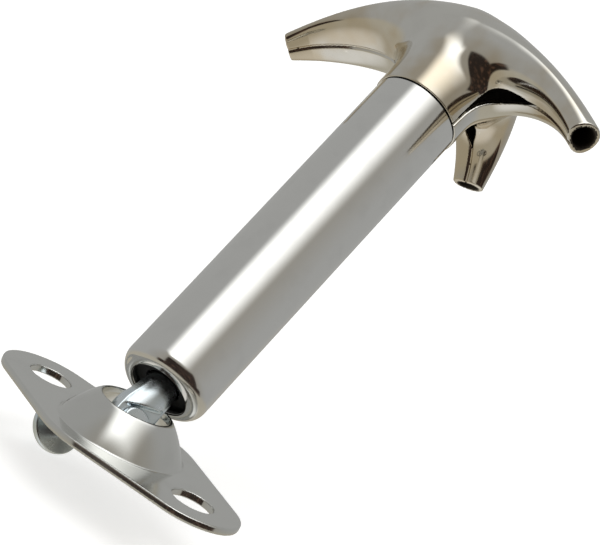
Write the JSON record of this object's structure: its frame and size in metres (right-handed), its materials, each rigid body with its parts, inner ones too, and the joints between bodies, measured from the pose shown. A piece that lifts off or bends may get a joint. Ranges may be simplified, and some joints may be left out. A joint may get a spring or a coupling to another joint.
{
  "type": "spring-loaded swivel hook catch",
  "caption": "Chromed spring-loaded hold catch: T-handle barrel with a hook prong, sliding on a rod that tilts and swivels in a domed screw-down base plate.",
  "frame": {"origin": "on the mounting plane, the flat underside of the base plate, under the centre of the dome", "axes": "+Z out of the mounting surface, +X along the base plate through both screw holes"},
  "size_m": [0.0988, 0.11, 0.1065],
  "materials": {
    "chrome": "bright chrome plating",
    "zinc": "bluish bright zinc plating, satin",
    "spring_steel": "drawn spring wire",
    "nylon": "matt"
  },
  "bodies": {
    "base": {"base_plate": "chrome"},
    "pin": {"pivot_pin": "zinc"},
    "rod": {"pivot_rod": "zinc", "barrel_spring": "spring_steel", "upper_spring_washer": "zinc", "stop_nut": "zinc", "nut_insert": "nylon"},
    "spring_seat": {"lower_spring_washer": "zinc"},
    "handle": {"barrel": "chrome", "neck_sleeve": "zinc", "hook_head": "chrome"}
  },
  "joints": [
    {"name": "pin_swivel", "type": "hinge", "parent": "base", "child": "pin", "pos_m": [0, 0, 0], "axis": [0, 0, 1], "continuous": true},
    {"name": "rod_swing", "type": "hinge", "parent": "pin", "child": "rod", "pos_m": [0.00138, -0.00178, 0.00489], "axis": [0.8469, -0.1759, 0.5018], "range_deg": [0, 50]},
    {"name": "barrel_pull", "type": "slide", "parent": "rod", "child": "spring_seat", "axis": [-0.2706, 0.6698, 0.6915], "range_m": [0, 0.016], "stiffness_N_per_m": 1800, "springref_m": -0.004, "deforming": ["barrel_spring"]},
    {"name": "barrel_turn", "type": "hinge", "parent": "spring_seat", "child": "handle", "pos_m": [-0.00134, 0.00496, 0.01185], "axis": [-0.2706, 0.6698, 0.6915], "continuous": true}
  ]
}
